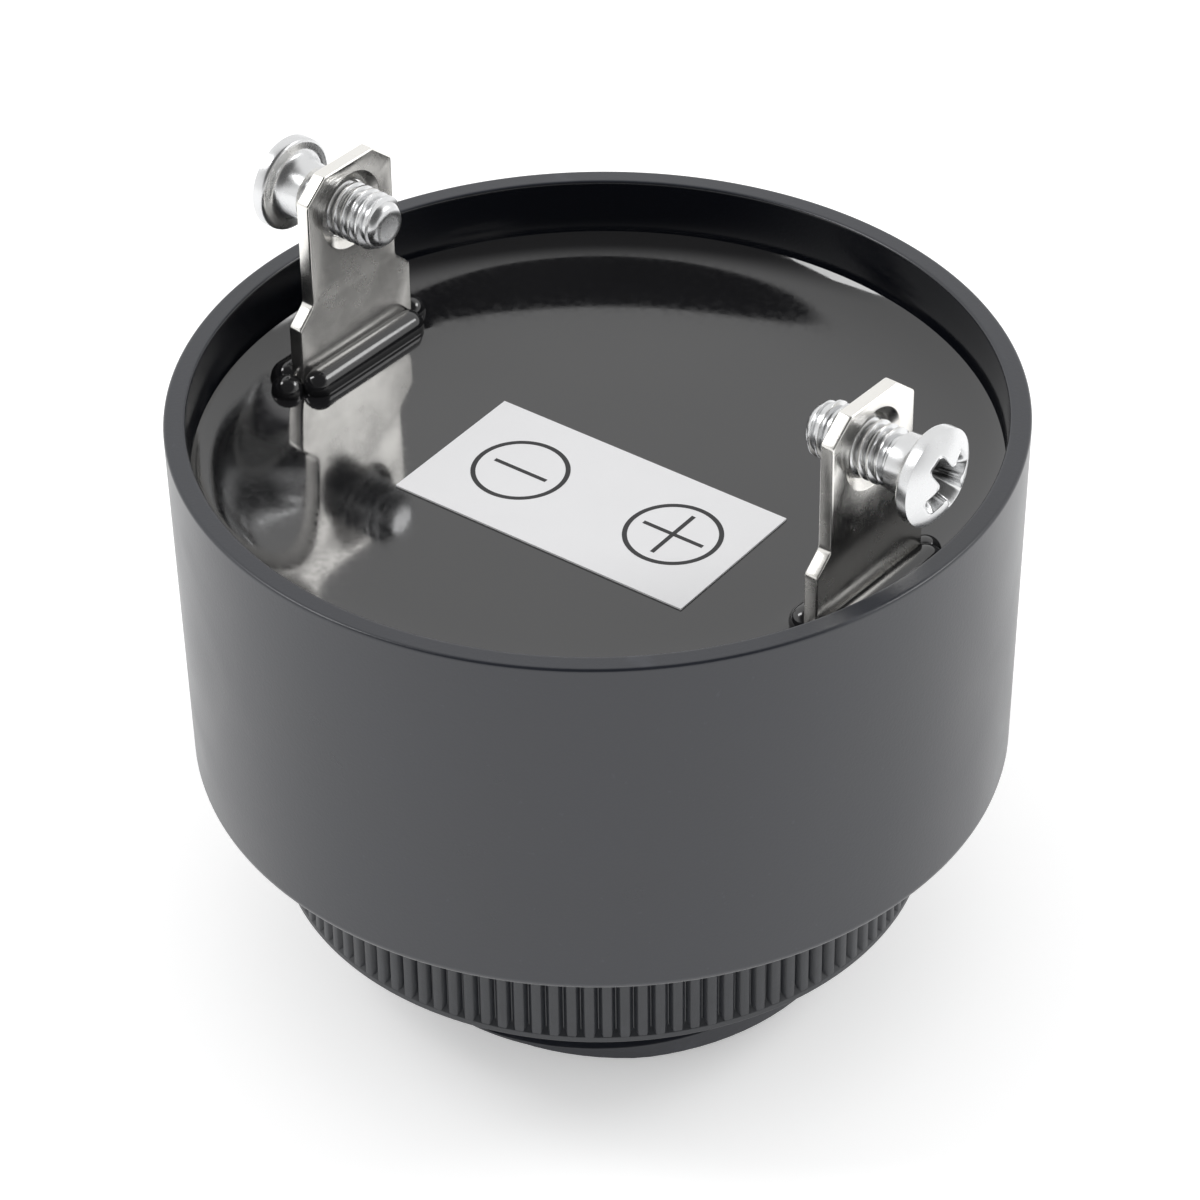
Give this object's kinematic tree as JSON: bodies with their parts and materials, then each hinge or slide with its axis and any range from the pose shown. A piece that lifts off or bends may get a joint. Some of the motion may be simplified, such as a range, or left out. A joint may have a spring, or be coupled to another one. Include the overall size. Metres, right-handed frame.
{
  "type": "panel-mount piezo buzzer",
  "caption": "Round black panel-mount piezo buzzer: threaded nose with a slotted sound grille and a knurled ring nut, potted back with screw terminals.",
  "frame": {"origin": "centre of the sound grille's front face, which is the lowest plane of the part", "axes": "+Z from the grille along the case axis to the terminals; X along the line that joins the terminals, +X to the plus terminal; the label's long side runs about along X"},
  "size_m": [0.043, 0.043, 0.0404],
  "materials": {
    "case_plastic": "satin black, moulded",
    "nut_plastic": "fine matt black",
    "silicone": "translucent white",
    "brass": "rolled",
    "silvered_ceramic": "fired silver",
    "lead_wire": "red insulation",
    "board": "green solder resist",
    "solder": "bright solder",
    "ferrite": "sintered",
    "copper": "enamelled wire",
    "component_black": "moulded black",
    "capacitor_sleeve": "dark blue sleeve",
    "resistor_coat": "beige coat",
    "resin": "glossy black casting resin",
    "label_paper": "white paper, printed in black",
    "terminal_plate": "nickel plated, satin",
    "screw_plate": "bright zinc plated"
  },
  "bodies": {
    "root": {"housing": "case_plastic", "ring_nut": "nut_plastic", "mounting_bead": "silicone", "piezo_plate": "brass", "piezo_ceramic": "silvered_ceramic", "plate_lead": "lead_wire", "ceramic_lead": "lead_wire", "feedback_lead": "lead_wire", "circuit_board": "board", "solder_negative": "solder", "solder_positive": "solder", "choke_core": "ferrite", "choke_winding": "copper", "transistor": "component_black", "capacitor": "capacitor_sleeve", "drive_resistor": "resistor_coat", "bias_resistor": "resistor_coat", "feedback_resistor": "resistor_coat", "diode": "component_black", "potting": "resin", "label": "label_paper", "terminal_negative": "terminal_plate", "terminal_positive": "terminal_plate", "screw_negative": "screw_plate", "screw_positive": "screw_plate"}
  },
  "joints": []
}
